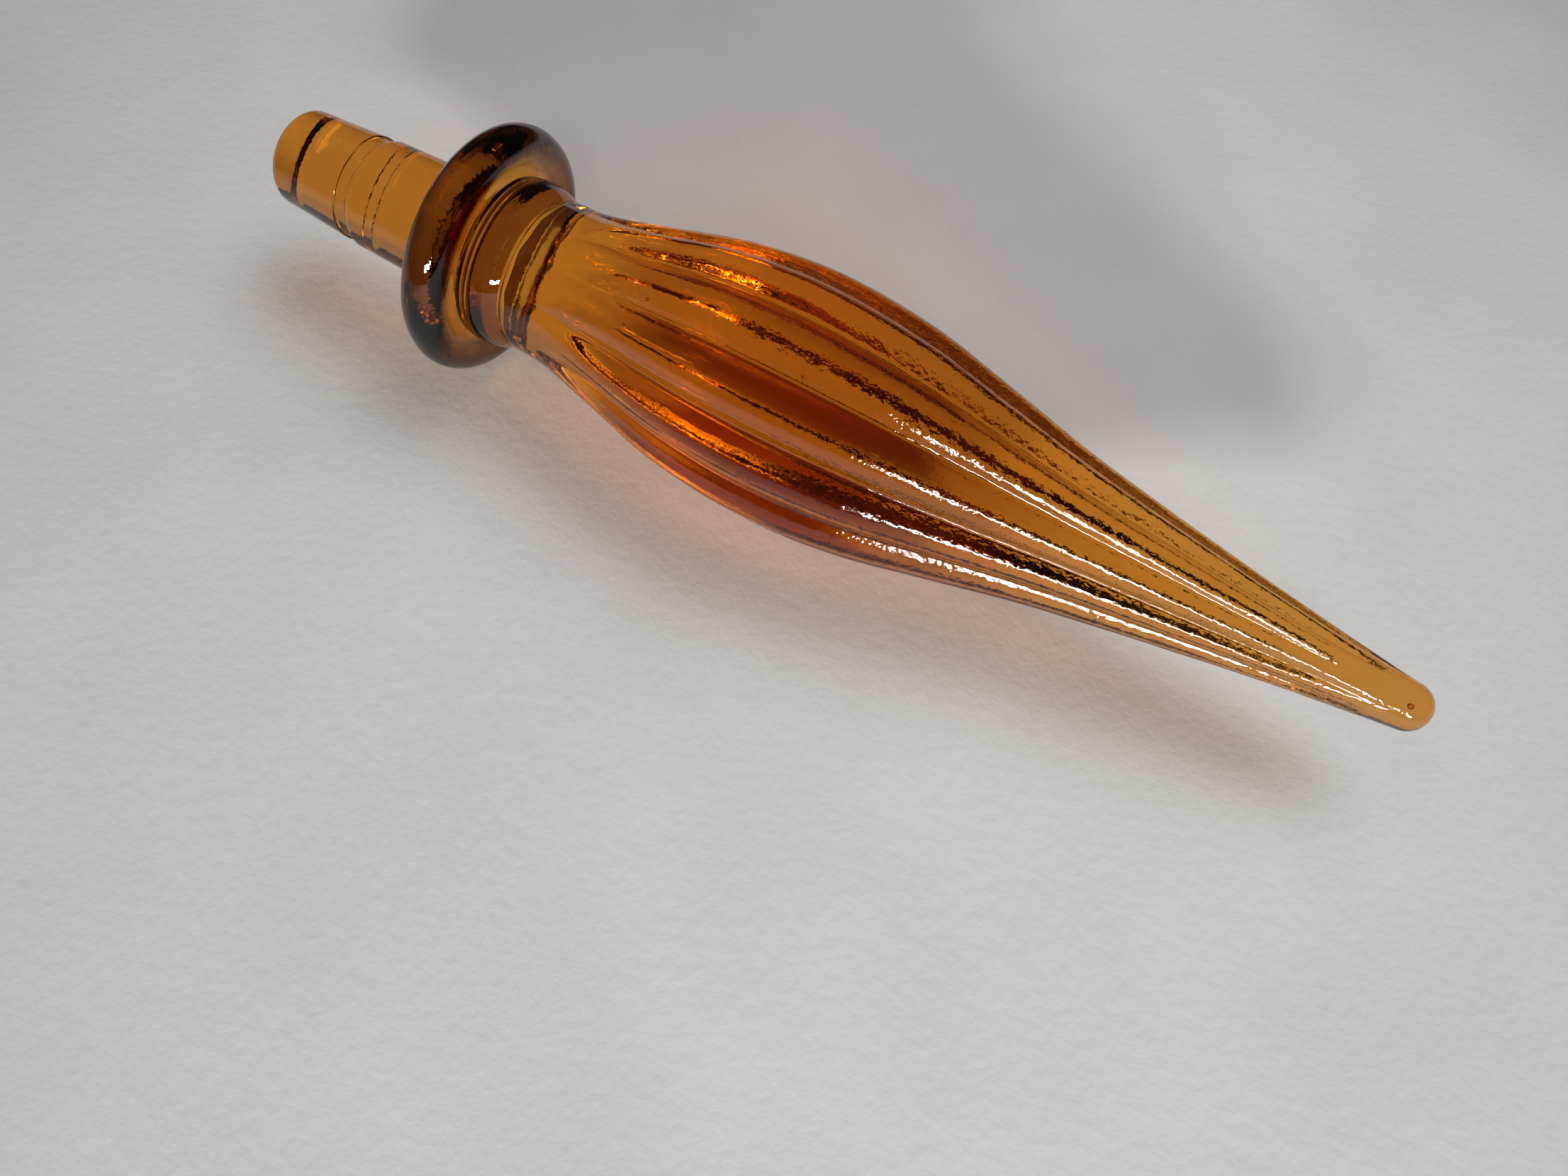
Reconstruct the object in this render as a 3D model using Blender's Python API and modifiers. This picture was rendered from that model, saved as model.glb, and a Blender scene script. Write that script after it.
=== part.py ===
"""Solid amber glass decanter stopper, lying on its side as it rests on a table.

The stopper is modelled upright along its own axis (local +Z towards the finial's tip, z = 0 at the
middle of the flange), then an empty lays it down along +X until the flange's rim and two ribs of the
belly share one floor. The sections were joined hot in the real thing; here each is a solid of its
own, parted from its neighbour by a hairline gap.
"""

import math

import bmesh
import bpy
from mathutils import Euler, Vector

MM = 0.001
COLLECTION_NAME = "decanter_stopper"

# Driving dimensions, in millimetres along the stopper's own axis.
GAP = 0.3                      # hairline between two fused sections
TURN_STEPS = 72                # facets round the axis: six to a rib

FLANGE_RADIUS = 22.5
RIM_RADIUS = 4.1               # the rim is a full half round of this radius
FLANGE_LAND_RADIUS = 15.4      # flat land that carries the collar
FLANGE_DISH = 0.95             # depth of the dish below the rim's crown
SEAT_MARGIN = 0.2              # the flat seat ring starts this far outside the plug

PLUG_LENGTH = 38.0             # from the flange's underside to the flat end
PLUG_GROUND_LENGTH = 17.2      # the tapered lower part
PLUG_END_RADIUS = 8.85
PLUG_GROUND_TAPER = 0.05       # radius gained per unit of length
PLUG_EDGE_RADIUS = 1.8
PLUG_ROOT_LOW_RADIUS = 10.0
PLUG_ROOT_TOP_RADIUS = 10.7
PLUG_SHOULDER_RADIUS = 0.5     # soft edges of the groove between the two

COLLAR_BASE_RADIUS = 14.8
COLLAR_BELLY_RADIUS = 15.1
COLLAR_TOP_RADIUS = 13.7
COLLAR_TOP = 11.0
COLLAR_BELLY_SHARE = 0.3       # where along its height the collar is widest

RIB_COUNT = 12
RIB_DEPTH = 0.105              # valley depth as a share of the radius
RIB_FADE_IN = (13.0, 34.0)
RIB_FADE_OUT = (138.0, 168.0)
TIP_RADIUS = 4.05
TIP_END = 173.2
BELLY_PLACE = 61.0
# The finial's outline over the crests of the ribs: (place along the axis, radius).
FINIAL_OUTLINE = [
    (19.0, 14.4),
    (30.0, 17.1),
    (45.0, 20.8),
    (BELLY_PLACE, 22.2),
    (78.0, 20.8),
    (95.0, 17.05),
    (112.0, 13.1),
    (135.0, 9.05),
    (154.0, 6.1),
]
NECK_RADIUS = 13.8
OUTLINE_STEPS = 4              # rings between two points of the outline
ARC_STEPS = 5

AMBER = (0.62, 0.24, 0.02)
PALE_AMBER = (0.74, 0.42, 0.08)
DEEP_AMBER = (0.45, 0.13, 0.01)
DARK_AMBER = (0.09, 0.015, 0.008)
GLASS_ROUGHNESS = 0.04
GROUND_ROUGHNESS = 0.08


def clear_scene():
    for obj in list(bpy.data.objects):
        bpy.data.objects.remove(obj, do_unlink=True)


def make_collection(name):
    collection = bpy.data.collections.new(name)
    bpy.context.scene.collection.children.link(collection)
    return collection


def glass(name, colour, roughness):
    material = bpy.data.materials.new(name)
    material.use_nodes = True
    shader = material.node_tree.nodes["Principled BSDF"]
    shader.inputs["Base Color"].default_value = (*colour, 1.0)
    shader.inputs["Roughness"].default_value = roughness
    shader.inputs["Metallic"].default_value = 0.0
    return material


def smoothstep(low, high, value):
    share = min(max((value - low) / (high - low), 0.0), 1.0)
    return share * share * (3.0 - 2.0 * share)


def arc(centre_place, centre_radius, radius, start_deg, end_deg, steps=ARC_STEPS):
    """Points of an arc in the (place, radius) plane; 0 degrees points away from the axis."""
    points = []
    for step in range(steps + 1):
        angle = math.radians(start_deg + (end_deg - start_deg) * step / steps)
        points.append((centre_place + radius * math.sin(angle), centre_radius + radius * math.cos(angle)))
    return points


def smooth_outline(points, steps):
    """Catmull-Rom curve through the points, which stay on it."""
    padded = [points[0], *points, points[-1]]
    curve = []
    for index in range(1, len(padded) - 2):
        before, start, end, after = padded[index - 1:index + 3]
        for step in range(steps):
            t = step / steps
            curve.append(tuple(
                0.5 * (2.0 * b + (c - a) * t + (2.0 * a - 5.0 * b + 4.0 * c - d) * t * t
                       + (3.0 * b - a - 3.0 * c + d) * t ** 3)
                for a, b, c, d in zip(before, start, end, after)))
    curve.append(points[-1])
    return curve


def turned(name, outline, material, collection):
    """A solid of revolution from (place, radius) points that run from its top down its outer side."""
    mesh = bpy.data.meshes.new(name)
    corners = [(radius * MM, 0.0, place * MM) for place, radius in outline]
    edges = [(index, index + 1) for index in range(len(corners) - 1)]
    mesh.from_pydata(corners, edges, [])
    mesh.materials.append(material)
    solid = bpy.data.objects.new(name, mesh)
    collection.objects.link(solid)
    screw = solid.modifiers.new("turn", "SCREW")
    screw.axis = "Z"
    screw.steps = TURN_STEPS
    screw.render_steps = TURN_STEPS
    screw.use_merge_vertices = True
    screw.merge_threshold = 0.00001
    screw.use_smooth_shade = True
    return solid


def closed_outline(points):
    """The outline with both ends taken to the axis."""
    return [(points[0][0], 0.0), *points, (points[-1][0], 0.0)]


def make_plug_ground_end(collection):
    bottom = -RIM_RADIUS - PLUG_LENGTH
    top = bottom + PLUG_GROUND_LENGTH
    top_radius = PLUG_END_RADIUS + PLUG_GROUND_TAPER * PLUG_GROUND_LENGTH
    edge = arc(bottom + PLUG_EDGE_RADIUS, PLUG_END_RADIUS - PLUG_EDGE_RADIUS + PLUG_GROUND_TAPER,
               PLUG_EDGE_RADIUS, 0.0, -90.0)
    shoulder = arc(top - PLUG_SHOULDER_RADIUS, top_radius - PLUG_SHOULDER_RADIUS,
                   PLUG_SHOULDER_RADIUS, 90.0, 0.0, steps=3)
    outline = closed_outline([*shoulder, *edge])
    material = glass("plug_ground_end", PALE_AMBER, GROUND_ROUGHNESS)
    return turned("plug_ground_end", outline, material, collection)


def make_plug_root(collection):
    top = -RIM_RADIUS - GAP
    bottom = -RIM_RADIUS - PLUG_LENGTH + PLUG_GROUND_LENGTH + GAP
    shoulder = arc(bottom + PLUG_SHOULDER_RADIUS, PLUG_ROOT_LOW_RADIUS - PLUG_SHOULDER_RADIUS,
                   PLUG_SHOULDER_RADIUS, 0.0, -90.0, steps=3)
    outline = closed_outline([(top, PLUG_ROOT_TOP_RADIUS), *shoulder])
    material = glass("plug_root", AMBER, GLASS_ROUGHNESS)
    return turned("plug_root", outline, material, collection)


def make_flange(collection):
    rim = arc(0.0, FLANGE_RADIUS - RIM_RADIUS, RIM_RADIUS, 90.0, -90.0, steps=12)
    land = (RIM_RADIUS - FLANGE_DISH, FLANGE_LAND_RADIUS)
    seat = (-RIM_RADIUS, PLUG_ROOT_TOP_RADIUS + SEAT_MARGIN)
    outline = closed_outline([land, *rim, seat])
    return turned("flange", outline, glass("flange", DARK_AMBER, GLASS_ROUGHNESS), collection)


def make_collar(collection):
    bottom = RIM_RADIUS - FLANGE_DISH + GAP
    belly = bottom + (COLLAR_TOP - bottom) * COLLAR_BELLY_SHARE
    middle = (belly + COLLAR_TOP) / 2.0
    side = [
        (COLLAR_TOP, COLLAR_TOP_RADIUS),
        (middle, COLLAR_BELLY_RADIUS - (COLLAR_BELLY_RADIUS - COLLAR_TOP_RADIUS) / 4.0),
        (belly, COLLAR_BELLY_RADIUS),
        (bottom, COLLAR_BASE_RADIUS),
    ]
    outline = closed_outline(smooth_outline(side, OUTLINE_STEPS - 1))
    return turned("collar", outline, glass("collar", AMBER, GLASS_ROUGHNESS), collection)


def rib_depth(place):
    return RIB_DEPTH * smoothstep(*RIB_FADE_IN, place) * (1.0 - smoothstep(*RIB_FADE_OUT, place))


def rib_factor(place, angle):
    """Share of the crest radius left at an angle; a valley lies at angle 0 and each crest is an arc."""
    pitch = 2.0 * math.pi / RIB_COUNT
    across = 2.0 * ((angle / pitch) % 1.0) - 1.0
    return 1.0 - rib_depth(place) * across * across


def press_ribs(blank):
    """Presses the valleys between the ribs into a turned blank."""
    evaluated = blank.evaluated_get(bpy.context.evaluated_depsgraph_get())
    mesh = bpy.data.meshes.new_from_object(evaluated)
    work = bmesh.new()
    work.from_mesh(mesh)
    for corner in work.verts:
        factor = rib_factor(corner.co.z / MM, math.atan2(corner.co.y, corner.co.x))
        corner.co.x *= factor
        corner.co.y *= factor
    work.to_mesh(mesh)
    work.free()
    mesh.name = blank.name
    blank.modifiers.clear()
    blank.data = mesh


def make_ribbed_finial(collection):
    bottom = COLLAR_TOP + GAP
    tip_centre = TIP_END - TIP_RADIUS
    lower_side = [(bottom, NECK_RADIUS), *FINIAL_OUTLINE, (tip_centre, TIP_RADIUS)]
    side = smooth_outline(lower_side, OUTLINE_STEPS)
    tip = arc(tip_centre, 0.0, TIP_RADIUS, 90.0, 0.0)
    outline = [*tip[:-1], *reversed(side), (bottom, 0.0)]
    blank = turned("ribbed_finial", outline, glass("ribbed_finial", DEEP_AMBER, GLASS_ROUGHNESS), collection)
    press_ribs(blank)
    return blank


def belly_support_radius():
    """How far the belly reaches towards the floor when a valley points straight down."""
    half_pitch = math.pi / RIB_COUNT
    belly_radius = dict(FINIAL_OUTLINE)[BELLY_PLACE]
    reach = 0.0
    for step in range(TURN_STEPS):
        angle = half_pitch * step / TURN_STEPS
        reach = max(reach, belly_radius * rib_factor(BELLY_PLACE, angle) * math.cos(angle))
    return reach


def lay_down(solids, collection):
    """Lays the stopper along +X on z = 0, resting on the flange's rim and on two ribs."""
    dip = math.atan2(FLANGE_RADIUS - belly_support_radius(), BELLY_PLACE)
    lying = bpy.data.objects.new("lying", None)
    lying.rotation_euler = Euler((0.0, math.pi / 2.0 + dip, 0.0))
    collection.objects.link(lying)
    for solid in solids:
        solid.parent = lying
    bpy.context.view_layer.update()
    graph = bpy.context.evaluated_depsgraph_get()
    corners = []
    for solid in solids:
        evaluated = solid.evaluated_get(graph)
        corners += [evaluated.matrix_world @ vertex.co for vertex in evaluated.data.vertices]
    low = Vector([min(corner[axis] for corner in corners) for axis in range(3)])
    high = Vector([max(corner[axis] for corner in corners) for axis in range(3)])
    lying.location = (-(low.x + high.x) / 2.0, -(low.y + high.y) / 2.0, -low.z)
    bpy.context.view_layer.update()


def main():
    clear_scene()
    collection = make_collection(COLLECTION_NAME)
    solids = [
        make_plug_ground_end(collection),
        make_plug_root(collection),
        make_flange(collection),
        make_collar(collection),
        make_ribbed_finial(collection),
    ]
    bpy.context.view_layer.update()
    lay_down(solids, collection)


main()
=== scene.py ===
"""Amber glass decanter stopper lying on pale paper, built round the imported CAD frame.

Every CAD node is replaced by a finer glass section named after it. A section is a closed mesh that holds
its own ribs, creases, mould marks and bubbles. Light bends at its surface and darkens inside it, except
at the joints, which are made invisible because the real sections are fused into one glass.
"""
import math

import bpy
import numpy as np
from mathutils import Matrix, Vector, noise


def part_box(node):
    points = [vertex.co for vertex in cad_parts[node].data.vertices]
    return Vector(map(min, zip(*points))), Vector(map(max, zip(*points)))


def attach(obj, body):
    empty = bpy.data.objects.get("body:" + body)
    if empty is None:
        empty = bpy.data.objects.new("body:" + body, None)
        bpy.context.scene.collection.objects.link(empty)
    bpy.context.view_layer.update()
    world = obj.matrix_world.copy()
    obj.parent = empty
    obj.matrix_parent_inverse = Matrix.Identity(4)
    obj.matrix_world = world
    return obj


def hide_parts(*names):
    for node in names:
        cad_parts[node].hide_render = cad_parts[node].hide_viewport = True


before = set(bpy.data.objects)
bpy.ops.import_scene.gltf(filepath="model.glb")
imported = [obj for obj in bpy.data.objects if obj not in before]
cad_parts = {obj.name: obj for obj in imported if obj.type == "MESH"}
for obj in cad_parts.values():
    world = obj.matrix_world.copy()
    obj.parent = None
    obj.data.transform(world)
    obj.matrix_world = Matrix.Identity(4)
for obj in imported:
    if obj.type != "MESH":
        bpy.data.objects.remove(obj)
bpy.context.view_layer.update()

MM = 0.001                     # the stopper's lengths are in mm until its meshes are made

# ---------------------------------------------------------------- the stopper's own axis
# Local frame: z = place along the axis from the flange's middle to the tip, angle 0 = straight down.
DIP = math.radians(0.8166020474)
flange_low, flange_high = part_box("flange")
LAY = Matrix.Translation((flange_low + flange_high) / 2) @ Matrix.Rotation(math.pi / 2 + DIP, 4, "Y")

FLANGE_RADIUS = 22.5
RIM_RADIUS = 4.1
FLANGE_LAND_RADIUS = 15.4
FLANGE_DISH = 0.95
PLUG_LENGTH = 38.0
PLUG_GROUND_LENGTH = 17.2
PLUG_END_RADIUS = 8.85
PLUG_EDGE_RADIUS = 1.8
PLUG_SHOULDER_RADIUS = 9.7
PLUG_NECK_RADIUS = 9.3
PLUG_ROOT_LOW_RADIUS = 10.05
PLUG_ROOT_TOP_RADIUS = 10.7
ROOT_FILLET_RADIUS = 11.5
COLLAR_BASE_RADIUS = 14.8
COLLAR_BELLY_RADIUS = 15.1
COLLAR_TOP = 11.0
CREASE_RADIUS = 13.3
RIB_COUNT = 12
RIB_DEPTH = 0.105
RIB_FADE_IN = (13.0, 34.0)
RIB_FADE_OUT = (146.0, 171.0)
TIP_RADIUS = 4.05
TIP_END = 173.2
FINIAL_OUTLINE = [(12.2, 13.85), (19.0, 14.4), (30.0, 17.1), (45.0, 20.8), (61.0, 22.2), (78.0, 20.8),
                  (95.0, 17.05), (112.0, 13.1), (135.0, 9.05), (154.0, 6.1)]
NECK_SCALLOP = 0.14            # the share of a rib's depth already there at the neck
NECK_SCALLOP_FADE = (11.2, 13.0)
VALLEY_FILLET = 0.15           # the rounded share of the way from a rib's crest to the valley
VALLEY_CROWDING = 1.3          # above 1, columns stand closer together in the valleys

HALF_GAP = 0.01                # the air at a joint is this wide at the flange's two, else twice this
JOINT_TOLERANCE = 0.005
JOINT_RADIUS_TOLERANCE = 0.001
RELIEF_REACH = 1.5             # the way from a joint over which relief grows to its full height
POLE_RADIUS = 0.6              # the innermost ring, closed by a fan of triangles
FLAT_STEP = 0.9                # about the distance between rings across a flat end
SHARP_ANGLE = math.radians(50)
COLUMNS_PER_RIB = 30
COLUMNS = RIB_COUNT * COLUMNS_PER_RIB
BUBBLE_RINGS = 12
BUBBLE_SIDES = 20


def smoothstep(low, high, value):
    share = np.clip((value - low) / (high - low), 0.0, 1.0)
    return share * share * (3.0 - 2.0 * share)


def arc(place, centre, radius, start_deg, end_deg, steps=12):
    """Outline points round (place, centre), with 0 degrees outward and 90 toward the tip."""
    return [(place + radius * math.sin(math.radians(a)), centre + radius * math.cos(math.radians(a)))
            for a in np.linspace(start_deg, end_deg, steps + 1)]


def catmull(points, steps):
    """A smooth curve through the points, with so many steps between each two."""
    padded = [points[0], *points, points[-1]]
    curve = []
    for i in range(1, len(padded) - 2):
        before, start, end, after = (np.array(p) for p in padded[i - 1:i + 3])
        for step in range(steps):
            t = step / steps
            slope = end - before
            bow = 2 * before - 5 * start + 4 * end - after
            twist = 3 * start - before - 3 * end + after
            curve.append(0.5 * (2 * start + slope * t + bow * t * t + twist * t ** 3))
    curve.append(np.array(points[-1]))
    return [tuple(p) for p in curve]


def resample(points, step):
    """Points at even steps along a polyline, with its corners kept, and wider steps across flat ends."""
    out = [points[0]]
    for (p0, r0), (p1, r1) in zip(points[:-1], points[1:]):
        stride = max(step, FLAT_STEP) if p0 == p1 else step
        count = max(1, int(round(math.hypot(p1 - p0, r1 - r0) / stride)))
        out += [(p0 + (p1 - p0) * k / count, r0 + (r1 - r0) * k / count) for k in range(1, count + 1)]
    return np.array(out)


def column_angles():
    """Columns round the axis, closer together in the valleys than on the crests."""
    share = np.linspace(-1.0, 1.0, COLUMNS_PER_RIB, endpoint=False)
    across = np.sign(share) * (1.0 - (1.0 - np.abs(share)) ** VALLEY_CROWDING)
    pitch = 2 * math.pi / RIB_COUNT
    return np.concatenate([(k + 0.5 + across / 2.0) * pitch for k in range(RIB_COUNT)])


def rib_profile(angle):
    """0 on a rib's crest, 1 in the valley, with the valley's bottom rounded."""
    pitch = 2 * math.pi / RIB_COUNT
    across = np.abs(2.0 * ((angle / pitch) % 1.0) - 1.0)
    knee = 1.0 - VALLEY_FILLET
    over = np.maximum(across - knee, 0.0)
    rounded = knee ** 2 + 2 * knee * over - knee / VALLEY_FILLET * over ** 2
    return np.where(across < knee, across ** 2, rounded) / knee


def rib_depth(place):
    """Depth of the valleys as a share of the radius, at a place along the axis."""
    start = np.maximum(smoothstep(*RIB_FADE_IN, place), NECK_SCALLOP * smoothstep(*NECK_SCALLOP_FADE, place))
    return RIB_DEPTH * start * (1.0 - smoothstep(*RIB_FADE_OUT, place))


def noise_field(points, scale, seed):
    """Smooth noise between about -1 and 1 at points in mm; scale is (x, y, z) mm to a cell."""
    shift = Vector((13.7 * seed, 5.3 * seed, 9.1 * seed))
    cells = points.reshape(-1, 3) / np.array(scale)
    return np.array([noise.noise(Vector(p) + shift) for p in cells]).reshape(points.shape[:-1])


def joint_rows(rows, joints):
    """True for each pair of rows whose faces lie in a joint with the next section."""
    inside = np.zeros(len(rows) - 1, dtype=bool)
    for place, radius in joints:
        near = (np.abs(rows[:, 0] - place) < JOINT_TOLERANCE) & (rows[:, 1] < radius + JOINT_RADIUS_TOLERANCE)
        inside |= near[:-1] & near[1:]
    return inside


def relief_share(rows, joints):
    """0 in a joint and at its ring, then growing to 1, so that the two sections still meet."""
    share = np.ones(len(rows))
    for place, radius in joints:
        away = np.hypot(rows[:, 0] - place, rows[:, 1] - radius)
        flat = (np.abs(rows[:, 0] - place) < JOINT_TOLERANCE) & (rows[:, 1] < radius)
        share = np.minimum(share, np.where(flat, 0.0, smoothstep(0.0, RELIEF_REACH, away)))
    return share


def seed_bubble(place, angle_deg, depth_radius, half_sizes, twist=0.0):
    """Points and faces of a gas bubble: an ellipsoid with its faces turned inward, in mm."""
    along, around, deep = half_sizes
    rings, sides = BUBBLE_RINGS, BUBBLE_SIDES
    angle = math.radians(angle_deg)
    outward = np.array([math.cos(angle), math.sin(angle), 0.0])
    sideways = np.array([-math.sin(angle), math.cos(angle), 0.0])
    axis = np.array([0.0, 0.0, 1.0])
    lean = math.radians(twist)
    first = axis * math.cos(lean) + sideways * math.sin(lean)
    second = sideways * math.cos(lean) - axis * math.sin(lean)
    centre = outward * depth_radius + axis * place
    points = [centre - first * along]
    for ring in range(1, rings):
        polar = math.pi * ring / rings
        for side in range(sides):
            turn = 2 * math.pi * side / sides
            points.append(centre - first * along * math.cos(polar)
                          + second * around * math.sin(polar) * math.cos(turn)
                          + outward * deep * math.sin(polar) * math.sin(turn))
    points.append(centre + first * along)
    faces = [(0, 1 + side, 1 + (side + 1) % sides) for side in range(sides)]
    for ring in range(rings - 2):
        low, high = 1 + ring * sides, 1 + (ring + 1) * sides
        faces += [(low + side, high + side, high + (side + 1) % sides, low + (side + 1) % sides)
                  for side in range(sides)]
    last = len(points) - 1
    top = 1 + (rings - 2) * sides
    faces += [(last, top + (side + 1) % sides, top + side) for side in range(sides)]
    corner, right, left = (points[index] for index in faces[0])
    if np.dot(np.cross(right - corner, left - corner), corner - centre) > 0:
        faces = [tuple(reversed(face)) for face in faces]
    return np.array(points), faces


def section(name, outline, step, material, joints, relief, ribs=False, bubbles=(), peel=None, painted_shade=None):
    """A closed glass section of revolution with pressed ribs, relief and bubbles.

    Its faces say whether they lie in a joint, and its points how strong the fine peel and the painted shade
    (a darker tint) are.
    """
    rows = resample(outline, step)
    tangent = np.gradient(rows, axis=0)
    tangent /= np.linalg.norm(tangent, axis=1)[:, None] + 1e-12
    place, radius = rows[:, :1], rows[:, 1:]
    angles = column_angles()[None, :]
    r = radius * np.ones_like(angles)
    if ribs:
        r = r * (1.0 - rib_depth(place) * rib_profile(angles))
    z = place * np.ones_like(angles)
    base = np.stack([r * np.cos(angles), r * np.sin(angles), z], axis=-1)
    height = relief(base, z, angles * np.ones_like(r)) * relief_share(rows, joints)[:, None]
    z = z - height * tangent[:, 1:]
    r = r + height * tangent[:, :1]
    n, m = len(rows), COLUMNS
    peel_share = np.full(n * m + 2, SMOOTH_PEEL)
    if peel is not None:
        peel_share[:n * m] = peel(place, angles).reshape(-1)
    painted_shade_share = np.zeros(n * m + 2)
    if painted_shade is not None:
        painted_shade_share[:n * m] = np.repeat(painted_shade(rows[:, 1]), m)
    verts = np.stack([r * np.cos(angles), r * np.sin(angles), z], axis=-1).reshape(-1, 3)
    verts = [verts, np.array([[0.0, 0.0, rows[0, 0]]]), np.array([[0.0, 0.0, rows[-1, 0]]])]
    grid = np.arange(n * m).reshape(n, m)
    nxt = np.roll(grid, -1, axis=1)
    quads = np.stack([grid[:-1], nxt[:-1], nxt[1:], grid[1:]], axis=-1).reshape(-1, 4)
    bottom = np.stack([np.full(m, n * m), nxt[0], grid[0]], axis=-1)
    top = np.stack([np.full(m, n * m + 1), grid[-1], nxt[-1]], axis=-1)
    faces = [tuple(f) for group in (quads, bottom, top) for f in group.tolist()]
    in_joint = joint_rows(rows, joints)
    marks = np.concatenate([np.repeat(in_joint, m), np.repeat(in_joint[0], m), np.repeat(in_joint[-1], m)])
    count = n * m + 2
    for bubble in bubbles:
        points, shell = seed_bubble(*bubble)
        verts.append(points)
        faces += [tuple(index + count for index in face) for face in shell]
        count += len(points)
    marks = np.concatenate([marks, np.zeros(len(faces) - len(marks), dtype=bool)])
    extra = np.zeros(count - len(peel_share))
    points = {"peel": np.concatenate([peel_share, extra]), "painted_shade": np.concatenate([painted_shade_share, extra])}
    return glass_mesh(name, np.concatenate(verts) * MM, faces, marks, points, material)


def glass_mesh(name, verts, faces, marks, point_values, material):
    """The section's object, laid along the stopper's axis."""
    mesh = bpy.data.meshes.new(name)
    mesh.from_pydata([LAY @ Vector(v) for v in verts.tolist()], [], faces)
    mesh.polygons.foreach_set("use_smooth", [True] * len(mesh.polygons))
    mesh.set_sharp_from_angle(angle=SHARP_ANGLE)
    joint = mesh.attributes.new("joint", "FLOAT", "FACE")
    joint.data.foreach_set("value", marks.astype(np.float32))
    for attribute, values in point_values.items():
        layer = mesh.attributes.new(attribute, "FLOAT", "POINT")
        layer.data.foreach_set("value", values.astype(np.float32))
    mesh.materials.append(material)
    mesh.update()
    obj = bpy.data.objects.new(name, mesh)
    bpy.context.scene.collection.objects.link(obj)
    return obj


# ---------------------------------------------------------------- glass
ABSORPTION_COLOUR = (0.92, 0.68, 0.0, 1.0)
GLASS_IOR = 1.52
SMOOTH_PEEL = 0.22
# Painted shade: the flange's rim is tinted darker, with darker streaks, to stand in for the dark look of the
# thick rim.
RIM_PAINTED_SHADE = (0.20, 0.085, 0.045, 1.0)
RIM_PAINTED_SHADE_STREAK = (0.07, 0.032, 0.022, 1.0)
AMBER_PALE = (0.93, 0.52, 0.15, 1.0)
AMBER_DEEP = (0.90, 0.42, 0.10, 1.0)
# Painted light: the collar's glass is a paler, less absorbing copy of the amber, so that the collar looks
# brighter, though it is the same fused glass.
COLLAR_PAINTED_LIGHT_PALE = (0.97, 0.64, 0.25, 1.0)
COLLAR_PAINTED_LIGHT_DEEP = (0.95, 0.53, 0.16, 1.0)
AMBER_DENSITY = 62.0           # absorption per metre
COLLAR_LIGHTENED_DENSITY = 38.0
# Painted shade: the flange's glass absorbs more than the rest, though it is the same fused glass, so that the
# flange looks darker.
FLANGE_SHADED_DENSITY = 85.0
CORD_SCALE = (12.0, 90.0, 90.0)
PEEL_SCALE = 1100.0            # a bump about every millimetre
PEEL_HEIGHT = 0.0001
SMUDGE_SCALE = 60.0
SMUDGE_ROUGHNESS = 0.05


def colour_mix(tree, share, first, second):
    """The socket of a mix from one colour to another by a share from 0 to 1."""
    mix = tree.nodes.new("ShaderNodeMix")
    mix.data_type = "RGBA"
    tree.links.new(share, mix.inputs[0])
    colours = [socket for socket in mix.inputs if socket.type == "RGBA"]
    tree.links.new(first, colours[0])
    tree.links.new(second, colours[1])
    return [socket for socket in mix.outputs if socket.type == "RGBA"][0]


def ramp_between(tree, share, low, low_colour, high, high_colour):
    """The colour socket of a ramp from one colour to another."""
    ramp = tree.nodes.new("ShaderNodeValToRGB")
    ramp.color_ramp.elements[0].position = low
    ramp.color_ramp.elements[0].color = low_colour
    ramp.color_ramp.elements[1].position = high
    ramp.color_ramp.elements[1].color = high_colour
    tree.links.new(share, ramp.inputs["Fac"])
    return ramp.outputs["Color"]


def noise_texture(tree, place, scale, detail, distortion=0.0):
    """The share socket of a noise texture."""
    texture = tree.nodes.new("ShaderNodeTexNoise")
    texture.inputs["Scale"].default_value = scale
    texture.inputs["Detail"].default_value = detail
    texture.inputs["Distortion"].default_value = distortion
    tree.links.new(place, texture.inputs["Vector"])
    return texture.outputs["Fac"]


def mesh_value(tree, name):
    """The socket of a value that the mesh carries."""
    attribute = tree.nodes.new("ShaderNodeAttribute")
    attribute.attribute_name = name
    return attribute.outputs["Fac"]


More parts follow.
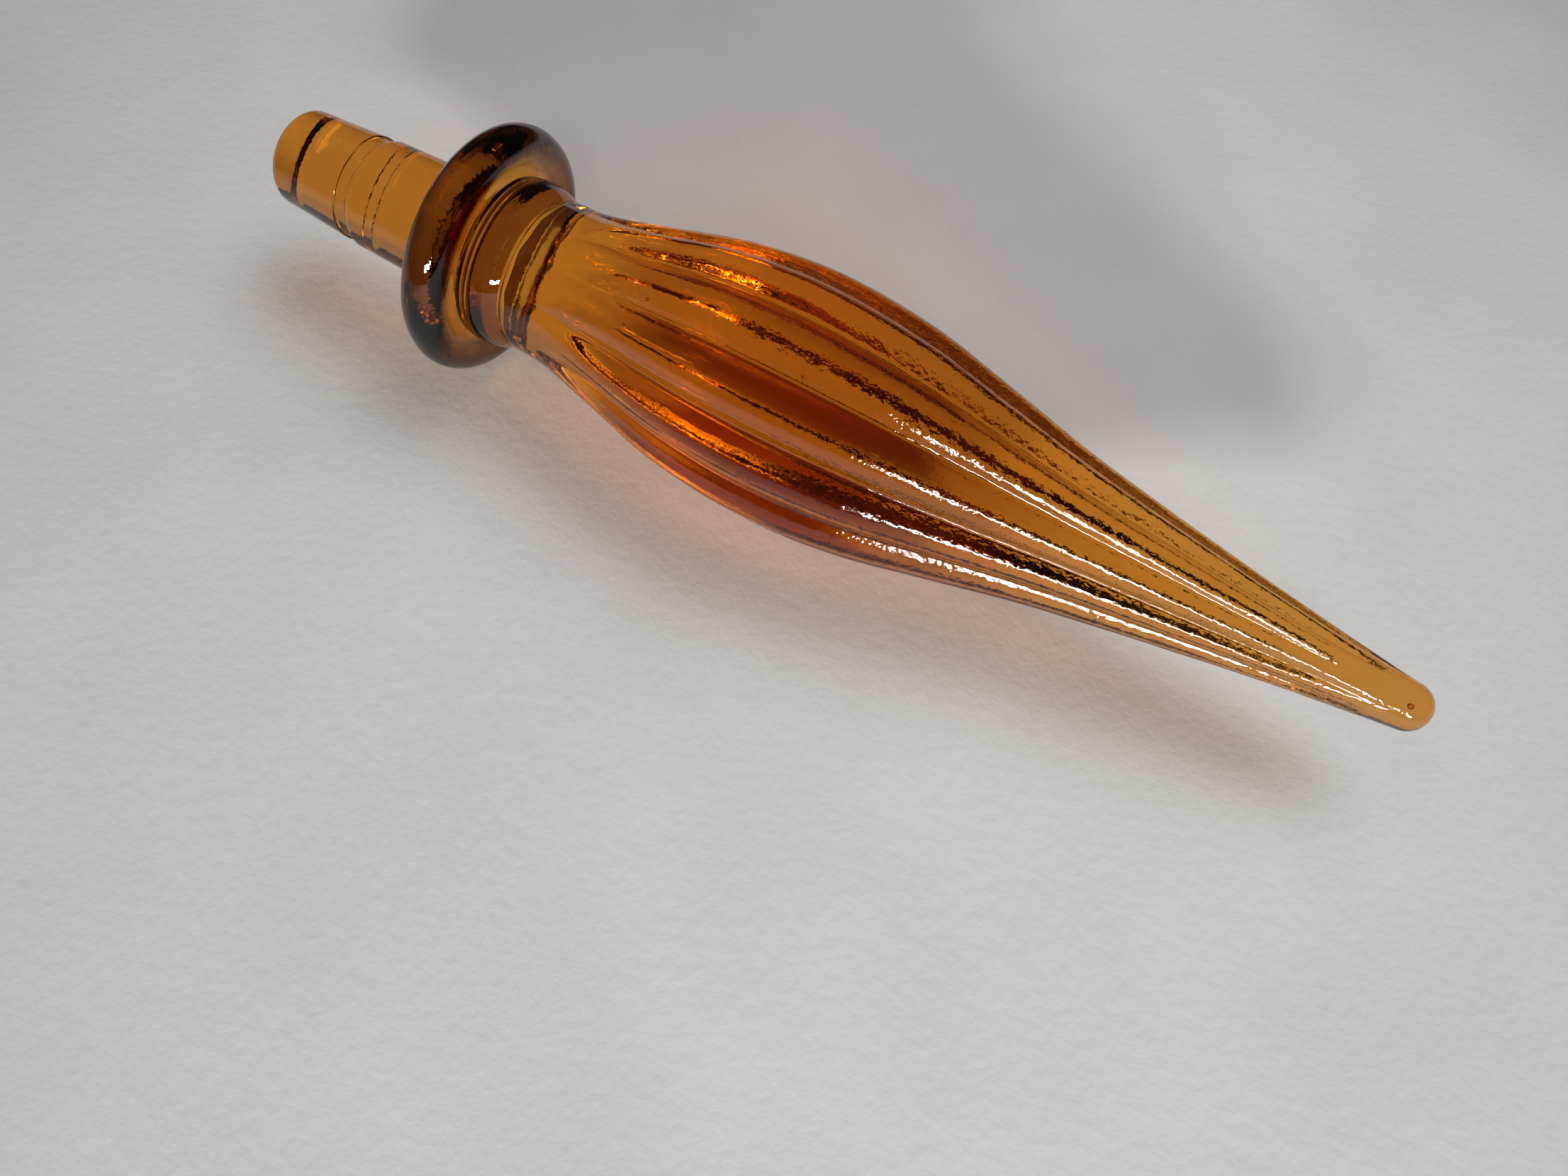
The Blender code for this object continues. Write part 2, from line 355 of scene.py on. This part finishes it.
def glass_material(name, density, pale, deep):
    """Amber glass: tint drifting in cords along the axis, faint smudges and orange peel.

    Faces marked as joints neither bend nor tint light, because the sections are fused into one glass.
    """
    material = bpy.data.materials.new(name)
    material.use_nodes = True
    tree = material.node_tree
    nodes, links = tree.nodes, tree.links
    shader = nodes["Principled BSDF"]
    shader.inputs["IOR"].default_value = GLASS_IOR
    shader.inputs["Transmission Weight"].default_value = 1.0
    place = nodes.new("ShaderNodeTexCoord").outputs["Object"]
    cords_place = nodes.new("ShaderNodeMapping")
    cords_place.inputs["Scale"].default_value = CORD_SCALE
    links.new(place, cords_place.inputs["Vector"])
    cords = noise_texture(tree, cords_place.outputs[0], 1.0, 3.0, 0.6)
    tint = ramp_between(tree, cords, 0.35, deep, 0.65, pale)
    # painted shade: a darker, streaked tint where the mesh's painted shade value is high, on the flange's rim
    rim_painted_shade_colour = ramp_between(tree, cords, 0.45, RIM_PAINTED_SHADE_STREAK, 0.62, RIM_PAINTED_SHADE)
    tint_and_rim_painted_shade = colour_mix(tree, mesh_value(tree, "painted_shade"), tint, rim_painted_shade_colour)
    joint = mesh_value(tree, "joint")
    clear = nodes.new("ShaderNodeRGB")
    clear.outputs[0].default_value = (1.0, 1.0, 1.0, 1.0)
    links.new(colour_mix(tree, joint, tint_and_rim_painted_shade, clear.outputs[0]), shader.inputs["Base Color"])
    bend = nodes.new("ShaderNodeMapRange")
    bend.inputs["To Min"].default_value = GLASS_IOR
    bend.inputs["To Max"].default_value = 1.0
    links.new(joint, bend.inputs["Value"])
    links.new(bend.outputs[0], shader.inputs["IOR"])
    sheen = nodes.new("ShaderNodeMapRange")
    sheen.inputs["From Min"].default_value = 0.5
    sheen.inputs["From Max"].default_value = 0.8
    sheen.inputs["To Max"].default_value = SMUDGE_ROUGHNESS
    links.new(noise_texture(tree, place, SMUDGE_SCALE, 4.0), sheen.inputs["Value"])
    links.new(sheen.outputs[0], shader.inputs["Roughness"])
    bump = nodes.new("ShaderNodeBump")
    bump.inputs["Distance"].default_value = PEEL_HEIGHT
    links.new(mesh_value(tree, "peel"), bump.inputs["Strength"])
    links.new(noise_texture(tree, place, PEEL_SCALE, 2.0), bump.inputs["Height"])
    links.new(bump.outputs[0], shader.inputs["Normal"])
    volume = nodes.new("ShaderNodeVolumeAbsorption")
    volume.inputs["Color"].default_value = ABSORPTION_COLOUR
    volume.inputs["Density"].default_value = density
    links.new(volume.outputs[0], nodes["Material Output"].inputs["Volume"])
    return material


# ---------------------------------------------------------------- sections
HAMMERED_ANGLE = math.radians(-165.0)
BLOTCHED_ANGLE = math.radians(165.0)
RIM_PAINTED_SHADE_FROM = (16.6, 19.4)  # the radii between which painted shade darkens the flange's rim
# Each mould mark: place along the axis, depth, middle angle and half width in degrees.
MOULD_MARKS = [(88.6, 0.055, -150.0, 40.0), (93.2, 0.04, -175.0, 30.0), (112.6, 0.05, -160.0, 45.0),
               (120.1, 0.045, -140.0, 40.0), (52.0, 0.03, 160.0, 30.0), (71.0, 0.035, 20.0, 40.0),
               (101.0, 0.04, 60.0, 40.0)]


def around(angle, centre):
    """Unsigned angle between two directions round the axis."""
    return np.abs((angle - centre + math.pi) % (2 * math.pi) - math.pi)


def plain_peel(base, place, angle):
    """The soft unevenness of fire-polished glass."""
    return 0.010 * noise_field(base, (1.6, 1.6, 2.4), 3) + 0.03 * noise_field(base, (5.0, 5.0, 8.0), 4)


def ribbed_peel(base, place, angle):
    """Orange peel, a hammered rib, a blotched one, and crosswise marks left by the mould."""
    height = 0.012 * noise_field(base, (1.5, 1.5, 2.2), 3) + 0.035 * noise_field(base, (5.0, 5.0, 9.0), 4)
    body = smoothstep(16.0, 30.0, place) * (1.0 - smoothstep(138.0, 160.0, place))
    hammered = 1.0 - smoothstep(math.radians(9.0), math.radians(17.0), around(angle, HAMMERED_ANGLE))
    blotched = 1.0 - smoothstep(math.radians(10.0), math.radians(18.0), around(angle, BLOTCHED_ANGLE))
    height += body * hammered * 0.035 * noise_field(base, (1.5, 1.5, 2.0), 7)
    height += body * blotched * 0.05 * noise_field(base, (2.2, 2.2, 3.6), 8)
    for at, depth, centre, width in MOULD_MARKS:
        off = around(angle, math.radians(centre))
        wave = 0.7 * np.sin(7.0 * angle + at) + 0.4 * np.sin(17.0 * angle)
        reach = 1.0 - smoothstep(math.radians(0.4 * width), math.radians(width), off)
        height -= depth * reach * np.exp(-((place - at - wave) / 0.8) ** 2)
    return height


def collar_peel(base, place, angle):
    """Soft unevenness with two fine turned rings near the collar's foot."""
    rings = 0.13 * np.exp(-((place - 4.35) / 0.24) ** 2) + 0.10 * np.exp(-((place - 5.5) / 0.28) ** 2)
    return plain_peel(base, place, angle) - rings


def finial_peel_share(place, angle):
    """How strong the fine orange peel is: full on the taper and on the hammered rib, little at the neck."""
    taper = smoothstep(58.0, 84.0, place) * (1.0 - 0.75 * smoothstep(166.0, 171.0, place))
    hammered = 1.0 - smoothstep(math.radians(9.0), math.radians(17.0), around(angle, HAMMERED_ANGLE))
    rib = hammered * smoothstep(42.0, 58.0, place) * (1.0 - smoothstep(150.0, 165.0, place))
    return SMOOTH_PEEL + (1.0 - SMOOTH_PEEL) * np.maximum(taper * np.ones_like(angle), rib)


def rim_painted_shade(radius):
    """How much painted shade, a darker tint, lies on the flange's rim."""
    return smoothstep(*RIM_PAINTED_SHADE_FROM, radius)


plug_bottom = -RIM_RADIUS - PLUG_LENGTH
shoulder = plug_bottom + PLUG_GROUND_LENGTH
flange_under = -RIM_RADIUS
land = RIM_RADIUS - FLANGE_DISH
tip_centre = TIP_END - TIP_RADIUS

edge_place = plug_bottom + PLUG_EDGE_RADIUS
ground_outline = [(plug_bottom, POLE_RADIUS),
                  *arc(edge_place, PLUG_END_RADIUS - PLUG_EDGE_RADIUS, PLUG_EDGE_RADIUS, -90, 0),
                  *arc(shoulder - 2.4, PLUG_SHOULDER_RADIUS - 0.45, 0.45, 0, 80),
                  (shoulder - HALF_GAP, PLUG_NECK_RADIUS), (shoulder - HALF_GAP, POLE_RADIUS)]
root_outline = [(shoulder + HALF_GAP, POLE_RADIUS), (shoulder + HALF_GAP, PLUG_NECK_RADIUS),
                (shoulder + 0.5, 9.75), (shoulder + 1.2, PLUG_ROOT_LOW_RADIUS),
                (flange_under - 1.2, PLUG_ROOT_TOP_RADIUS),
                (flange_under - 0.6, PLUG_ROOT_TOP_RADIUS + 0.12), (flange_under - 0.25, 11.0),
                (flange_under - HALF_GAP, ROOT_FILLET_RADIUS), (flange_under - HALF_GAP, POLE_RADIUS)]
flange_outline = [(flange_under, POLE_RADIUS), (flange_under, ROOT_FILLET_RADIUS),
                  *arc(0.0, FLANGE_RADIUS - RIM_RADIUS, RIM_RADIUS, -90, 90, 30),
                  (land, FLANGE_LAND_RADIUS), (land, COLLAR_BASE_RADIUS), (land, POLE_RADIUS)]
collar_foot = land + HALF_GAP
collar_outline = [(collar_foot, POLE_RADIUS),
                  *catmull([(collar_foot, COLLAR_BASE_RADIUS), (5.5, COLLAR_BELLY_RADIUS), (8.3, 14.75),
                            (10.1, 14.0)], 6),
                  (10.6, 13.7), (COLLAR_TOP - HALF_GAP, CREASE_RADIUS),
                  (COLLAR_TOP - HALF_GAP, POLE_RADIUS)]
neck = COLLAR_TOP + HALF_GAP
finial_outline = [(neck, POLE_RADIUS), (neck, CREASE_RADIUS), (11.35, 13.6),
                  *catmull([*FINIAL_OUTLINE, (tip_centre, TIP_RADIUS)], 12),
                  *arc(tip_centre, 0.0, TIP_RADIUS, 4, 86, 16)]

# The ring round each joint, first on the section toward the plug's end, then on its neighbour.
shoulder_low = (shoulder - HALF_GAP, PLUG_NECK_RADIUS)
shoulder_high = (shoulder + HALF_GAP, PLUG_NECK_RADIUS)
under_low = (flange_under - HALF_GAP, ROOT_FILLET_RADIUS)
under_high = (flange_under, ROOT_FILLET_RADIUS)
land_low = (land, COLLAR_BASE_RADIUS)
land_high = (collar_foot, COLLAR_BASE_RADIUS)
crease_low = (COLLAR_TOP - HALF_GAP, CREASE_RADIUS)
crease_high = (neck, CREASE_RADIUS)

# Each bubble: place along the axis, angle, distance from the axis, (along, round, deep) half sizes, lean.
FINIAL_BUBBLES = [(63.0, -98.0, 18.8, (1.6, 0.55, 0.5), 12.0), (40.2, -146.0, 17.4, (0.28, 0.28, 0.28), 0.0),
                  (52.6, -152.0, 18.4, (0.32, 0.26, 0.26), 0.0),
                  (65.8, -154.0, 19.8, (0.30, 0.28, 0.28), 0.0),
                  (35.4, -138.0, 16.4, (0.26, 0.22, 0.22), 0.0),
                  (36.6, -160.0, 15.0, (0.30, 0.25, 0.25), 0.0),
                  (84.0, 40.0, 16.5, (0.9, 0.35, 0.35), -20.0), (58.0, 95.0, 17.5, (0.5, 0.4, 0.4), 0.0),
                  (102.0, 150.0, 11.5, (0.45, 0.3, 0.3), 0.0), (168.9, -146.0, 2.6, (0.55, 0.45, 0.4), 0.0)]
FLANGE_BUBBLES = [(2.2, -150.0, 19.8, (0.7, 1.7, 0.4), 0.0), (-1.5, 60.0, 18.8, (0.4, 0.8, 0.4), 0.0)]

RING_STEP = 0.6
FINE_RING_STEP = 0.16          # for the collar's turned rings
FINIAL_RING_STEP = 0.66

amber = glass_material("amber_glass", AMBER_DENSITY, AMBER_PALE, AMBER_DEEP)
# painted light: the collar gets the paler, less absorbing copy of the amber glass
collar_lightened_amber = glass_material("collar_glass", COLLAR_LIGHTENED_DENSITY, COLLAR_PAINTED_LIGHT_PALE, COLLAR_PAINTED_LIGHT_DEEP)
# painted shade: the flange gets a more absorbing copy of the amber glass
flange_shaded_amber = glass_material("flange_glass", FLANGE_SHADED_DENSITY, AMBER_PALE, AMBER_DEEP)
sections = {
    "plug_ground_end": section("plug_ground_end_glass", ground_outline, RING_STEP, amber, [shoulder_low],
                               plain_peel),
    "plug_root": section("plug_root_glass", root_outline, RING_STEP, amber, [shoulder_high, under_low],
                         plain_peel),
    "flange": section("flange_glass", flange_outline, RING_STEP, flange_shaded_amber, [under_high, land_low],
                      plain_peel, bubbles=FLANGE_BUBBLES, painted_shade=rim_painted_shade),
    "collar": section("collar_glass", collar_outline, FINE_RING_STEP, collar_lightened_amber, [land_high, crease_low],
                      collar_peel),
    "ribbed_finial": section("ribbed_finial_glass", finial_outline, FINIAL_RING_STEP, amber, [crease_high],
                             ribbed_peel, ribs=True, bubbles=FINIAL_BUBBLES, peel=finial_peel_share),
}
for node, piece in sections.items():
    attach(piece, "root")
    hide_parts(node)

# ---------------------------------------------------------------- floor, light and camera
scene = bpy.context.scene
HALF_FLOOR = 0.7               # metres
FLOOR_DROP = 0.0001
floor_corners = [(-HALF_FLOOR, -HALF_FLOOR, 0), (HALF_FLOOR, -HALF_FLOOR, 0),
                 (HALF_FLOOR, HALF_FLOOR, 0), (-HALF_FLOOR, HALF_FLOOR, 0)]
floor_mesh = bpy.data.meshes.new("paper_floor")
floor_mesh.from_pydata(floor_corners, [], [(0, 1, 2, 3)])
floor = bpy.data.objects.new("paper_floor", floor_mesh)
scene.collection.objects.link(floor)
floor.location.z = -FLOOR_DROP
paper = bpy.data.materials.new("paper")
paper.use_nodes = True
paper_tree = paper.node_tree
paper_shader = paper_tree.nodes["Principled BSDF"]
paper_shader.inputs["Roughness"].default_value = 0.8
paper_place = paper_tree.nodes.new("ShaderNodeTexCoord").outputs["Object"]
mottle = noise_texture(paper_tree, paper_place, 28.0, 6.0)
paper_tone = ramp_between(paper_tree, mottle, 0.3, (0.735, 0.725, 0.705, 1.0), 0.7, (0.785, 0.78, 0.765, 1.0))
paper_tree.links.new(paper_tone, paper_shader.inputs["Base Color"])
paper_bump = paper_tree.nodes.new("ShaderNodeBump")
paper_bump.inputs["Strength"].default_value = 0.6
paper_bump.inputs["Distance"].default_value = 0.00016
paper_tree.links.new(noise_texture(paper_tree, paper_place, 420.0, 5.0), paper_bump.inputs["Height"])
paper_tree.links.new(paper_bump.outputs[0], paper_shader.inputs["Normal"])
floor_mesh.materials.append(paper)

# The room is dim to every ray but the camera's own, so that the glass keeps its dark flanks.
ROOM_STRENGTH = 0.03
BACKDROP_STRENGTH = 0.42
world = scene.world or bpy.data.worlds.new("room")
scene.world = world
world.use_nodes = True
world_nodes, world_links = world.node_tree.nodes, world.node_tree.links
background = world_nodes["Background"]
background.inputs["Color"].default_value = (0.9, 0.95, 1.0, 1)
seen = world_nodes.new("ShaderNodeLightPath")
strength = world_nodes.new("ShaderNodeMapRange")
strength.inputs["To Min"].default_value = ROOM_STRENGTH
strength.inputs["To Max"].default_value = BACKDROP_STRENGTH
world_links.new(seen.outputs["Is Camera Ray"], strength.inputs["Value"])
world_links.new(strength.outputs[0], background.inputs["Strength"])


def area_light(name, direction, distance, sides, power, spread_deg, colour, mirrored=True):
    """A light aimed at the origin; one side makes a disc, two a rectangle. Some don't mirror in the glass."""
    light = bpy.data.lights.new(name, "AREA")
    light.spread = math.radians(spread_deg)
    light.shape = "RECTANGLE" if len(sides) == 2 else "DISK"
    light.size = sides[0]
    if len(sides) == 2:
        light.size_y = sides[1]
    light.energy = power
    light.color = colour
    lamp = bpy.data.objects.new(name, light)
    lamp.visible_glossy = mirrored
    scene.collection.objects.link(lamp)
    way = Vector(direction).normalized()
    lamp.location = way * distance
    lamp.rotation_mode = "QUATERNION"
    lamp.rotation_quaternion = way.to_track_quat("Z", "Y")


area_light("low_window", (0.395, -0.886, 0.242), 1.2, (0.42, 0.085), 0.85, 40, (1.0, 0.98, 0.95))
area_light("key_softbox", (0.36, -0.68, 0.64), 1.6, (0.3,), 0.10, 40, (1.0, 0.98, 0.96), mirrored=False)
area_light("overhead_softbox", (0.20, 0.40, 0.88), 0.72, (0.75, 0.5), 0.74, 75, (0.97, 0.98, 1.0),
           mirrored=False)

camera_data = bpy.data.cameras.new("camera")
camera_data.sensor_width = 36.0
camera_data.lens = 27.03
camera_data.clip_start = 0.01
camera = bpy.data.objects.new("camera", camera_data)
scene.collection.objects.link(camera)
CAMERA_PLACE = Vector((0.04532743, -0.11805519, 0.17759860))
CAMERA_WAY = Vector((-0.18278004, 0.47069769, -0.86315418))
CAMERA_ROLL = math.radians(9.0295)
camera.location = CAMERA_PLACE
camera.rotation_mode = "QUATERNION"
camera_roll = Matrix.Rotation(CAMERA_ROLL, 4, "Z").to_quaternion()
camera.rotation_quaternion = CAMERA_WAY.to_track_quat("-Z", "Y") @ camera_roll
scene.camera = camera

scene.view_settings.view_transform = "Standard"
scene.cycles.max_bounces = 24
scene.cycles.transmission_bounces = 24
scene.cycles.transparent_max_bounces = 16
